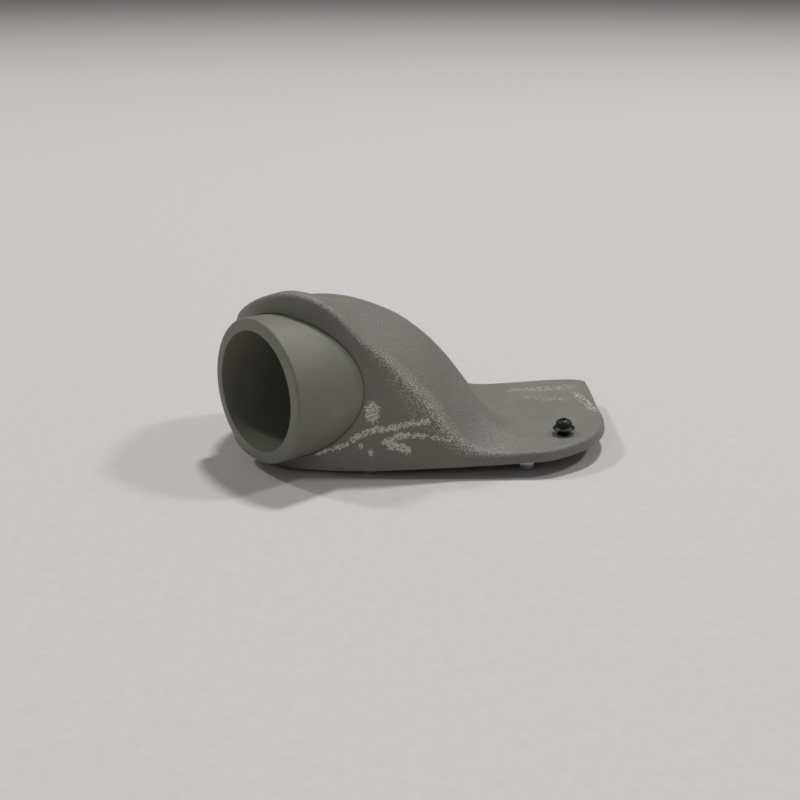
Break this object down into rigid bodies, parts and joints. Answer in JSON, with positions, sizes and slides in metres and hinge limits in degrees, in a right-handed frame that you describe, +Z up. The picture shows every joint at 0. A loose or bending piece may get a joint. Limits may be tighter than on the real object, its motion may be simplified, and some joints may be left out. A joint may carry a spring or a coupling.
{
  "type": "dashboard instrument pod",
  "caption": "Teardrop dashboard pod: a moulded cowl on a flat screw-down flange, with a turnable round cup angled towards the driver that holds a small instrument.",
  "frame": {"origin": "centre of the cup's mouth", "axes": "+X along the base towards the screw flange, +Y to the back, +Z up, standing on its clips on a level surface"},
  "size_m": [0.1742, 0.1077, 0.0779],
  "materials": {
    "cowl_plastic": "moulded leather grain, scuffed and worn on the ridge",
    "cup_plastic": "moulded, fine grain, slightly scratched",
    "black_plastic": "plain moulded",
    "felt": "pressed felt",
    "spring_steel": "bare",
    "clip_steel": "zinc plated",
    "zinc": "zinc plated",
    "black_steel": "black phosphate"
  },
  "bodies": {
    "pod": {"cowl": "cowl_plastic", "seat_ring": "black_plastic", "felt_ring": "felt", "seat_screw_front": "zinc", "seat_screw_upper": "zinc", "seat_screw_lower": "zinc", "screw_retainer": "spring_steel", "clip_front_left": "clip_steel", "clip_front_right": "clip_steel", "clip_back_left": "clip_steel", "clip_back_right": "clip_steel", "clip_pin_front_left": "black_plastic", "clip_pin_front_right": "black_plastic", "clip_pin_back_left": "black_plastic", "clip_pin_back_right": "black_plastic"},
    "cup": {"cup": "cup_plastic", "wave_washer": "spring_steel", "snap_ring": "spring_steel"},
    "washer": {"screw_washer": "black_steel"},
    "screw": {"mounting_screw": "black_steel"}
  },
  "joints": [
    {"name": "cup_turn", "type": "hinge", "parent": "pod", "child": "cup", "pos_m": [0, 0, 0], "axis": [0.7667, 0.6409, -0.0385], "continuous": true},
    {"name": "screw_slide", "type": "slide", "parent": "pod", "child": "washer", "axis": [-0.0499, 0, 0.9988], "range_m": [-0.00245, 0.003]},
    {"name": "screw_turn", "type": "hinge", "parent": "washer", "child": "screw", "pos_m": [0.13393, 0.0135, -0.02935], "axis": [-0.0499, 0, 0.9988], "range_deg": [-490.1, 600.1]}
  ],
  "couplings": [
    {"joint": "screw_turn", "follows": "screw_slide", "rad_per_m": 3490.7}
  ]
}
